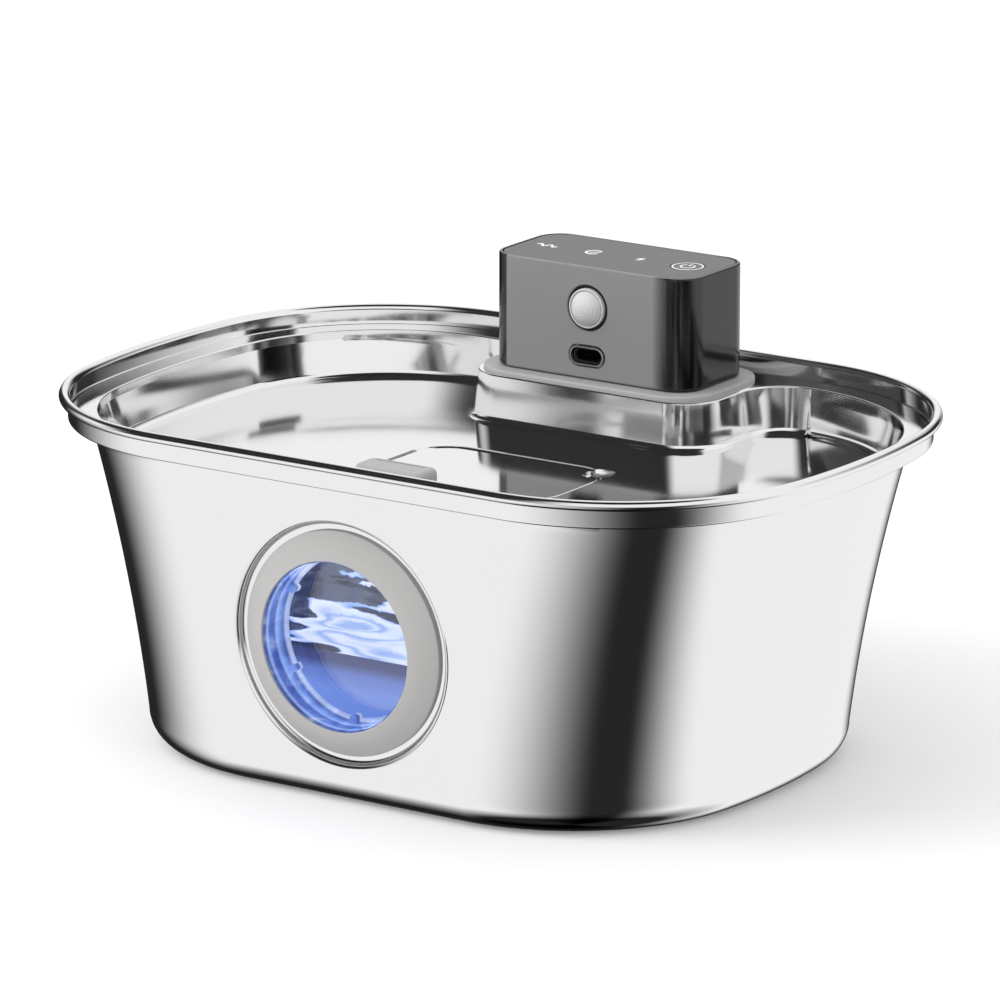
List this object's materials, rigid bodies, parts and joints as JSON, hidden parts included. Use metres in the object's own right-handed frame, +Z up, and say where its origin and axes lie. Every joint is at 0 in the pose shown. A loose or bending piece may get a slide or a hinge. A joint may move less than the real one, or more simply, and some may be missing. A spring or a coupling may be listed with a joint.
{
  "type": "pet water fountain",
  "caption": "Countertop pet water fountain: flared oval steel tank with a round porthole, lift-out steel drinking tray with a filter hatch, and a lift-out sensor drive module.",
  "frame": {"origin": "centre of the tank's flat underside, on the surface that it stands on", "axes": "+Z up, +X along the tank's length, -Y towards the porthole, the drive module stands towards +Y"},
  "size_m": [0.2632, 0.1892, 0.1391],
  "materials": {
    "polished_steel": "satin-polished stainless steel sheet",
    "bezel_grey": "fine matte light grey moulding",
    "clear_plastic": "clear moulded plastic",
    "dark_silicone": "black silicone rubber",
    "pale_silicone": "light grey silicone rubber",
    "grip_silicone": "light grey silicone rubber",
    "white_plastic": "matte white moulding",
    "grey_plastic": "matte grey moulding",
    "blue_plastic": "glossy blue moulding",
    "black_plastic": "matte black moulding",
    "ceramic": "glazed white ceramic",
    "magnet": "dark sintered magnet",
    "foam": "open-cell grey foam",
    "carbon_felt": "black carbon felt",
    "module_grey": "glossy mid grey moulding",
    "panel_grey": "fine matte mid grey moulding",
    "milky_lens": "milky white moulded lens",
    "plain_steel": "plain steel",
    "liner_aluminium": "satin aluminium",
    "circuit_board": "green solder mask",
    "cell_wrap": "blue shrink wrap",
    "lead_red": "red wire insulation"
  },
  "bodies": {
    "tank": {"tank_shell": "polished_steel", "window_bezel": "bezel_grey", "window_sleeve": "clear_plastic", "window_gasket": "dark_silicone", "window_lock_ring": "white_plastic", "pump_feet": "dark_silicone", "pump_strainer": "grey_plastic", "pump_housing": "grey_plastic", "riser_pipe": "white_plastic", "impeller_pin": "ceramic"},
    "impeller": {"impeller": "blue_plastic", "impeller_magnet": "magnet"},
    "tray": {"tray": "polished_steel", "collar_gasket": "pale_silicone", "filter_gasket": "dark_silicone", "filter_box": "white_plastic", "filter_foam": "foam", "carbon_pad": "carbon_felt"},
    "hatch": {"hatch_plate": "polished_steel", "grip_tab": "grip_silicone"},
    "module": {"module_housing": "module_grey", "top_panel": "panel_grey", "sensor_lens": "milky_lens", "sensor_seal": "dark_silicone", "sensor_can": "plain_steel", "port_liner_ring": "liner_aluminium", "port_gasket": "dark_silicone", "charging_socket": "plain_steel", "socket_tongue": "black_plastic", "front_board": "circuit_board", "main_board": "circuit_board", "button_switch": "black_plastic", "indicator_lamps": "white_plastic", "battery_cell": "cell_wrap", "battery_cradle": "black_plastic", "stem": "grey_plastic", "stem_seal": "dark_silicone", "stem_screws": "plain_steel", "drive_motor": "plain_steel", "motor_clamp": "white_plastic", "motor_leads": "lead_red"},
    "button": {"power_button": "panel_grey"},
    "rotor": {"motor_shaft": "plain_steel", "magnet_holder": "white_plastic", "drive_magnets": "magnet"}
  },
  "joints": [
    {"name": "tray_lift", "type": "slide", "parent": "tank", "child": "tray", "axis": [0, 0, 1], "range_m": [0, 0.09]},
    {"name": "module_lift", "type": "slide", "parent": "tray", "child": "module", "axis": [0, 0, 1], "range_m": [0, 0.09]},
    {"name": "hatch_lift", "type": "slide", "parent": "tray", "child": "hatch", "axis": [0, 0, 1], "range_m": [0, 0.05]},
    {"name": "button_press", "type": "slide", "parent": "module", "child": "button", "axis": [0, 0, -1], "range_m": [0, 0.0005], "stiffness_N_per_m": 200, "springref_m": -0.001},
    {"name": "drive_spin", "type": "hinge", "parent": "module", "child": "rotor", "pos_m": [0, 0.063, 0.03], "axis": [0, 0, 1], "continuous": true},
    {"name": "impeller_spin", "type": "hinge", "parent": "tank", "child": "impeller", "pos_m": [0, 0.063, 0.015], "axis": [0, 0, 1], "continuous": true}
  ],
  "couplings": [
    {"joint": "drive_spin", "follows": "impeller_spin", "ratio": 1}
  ]
}
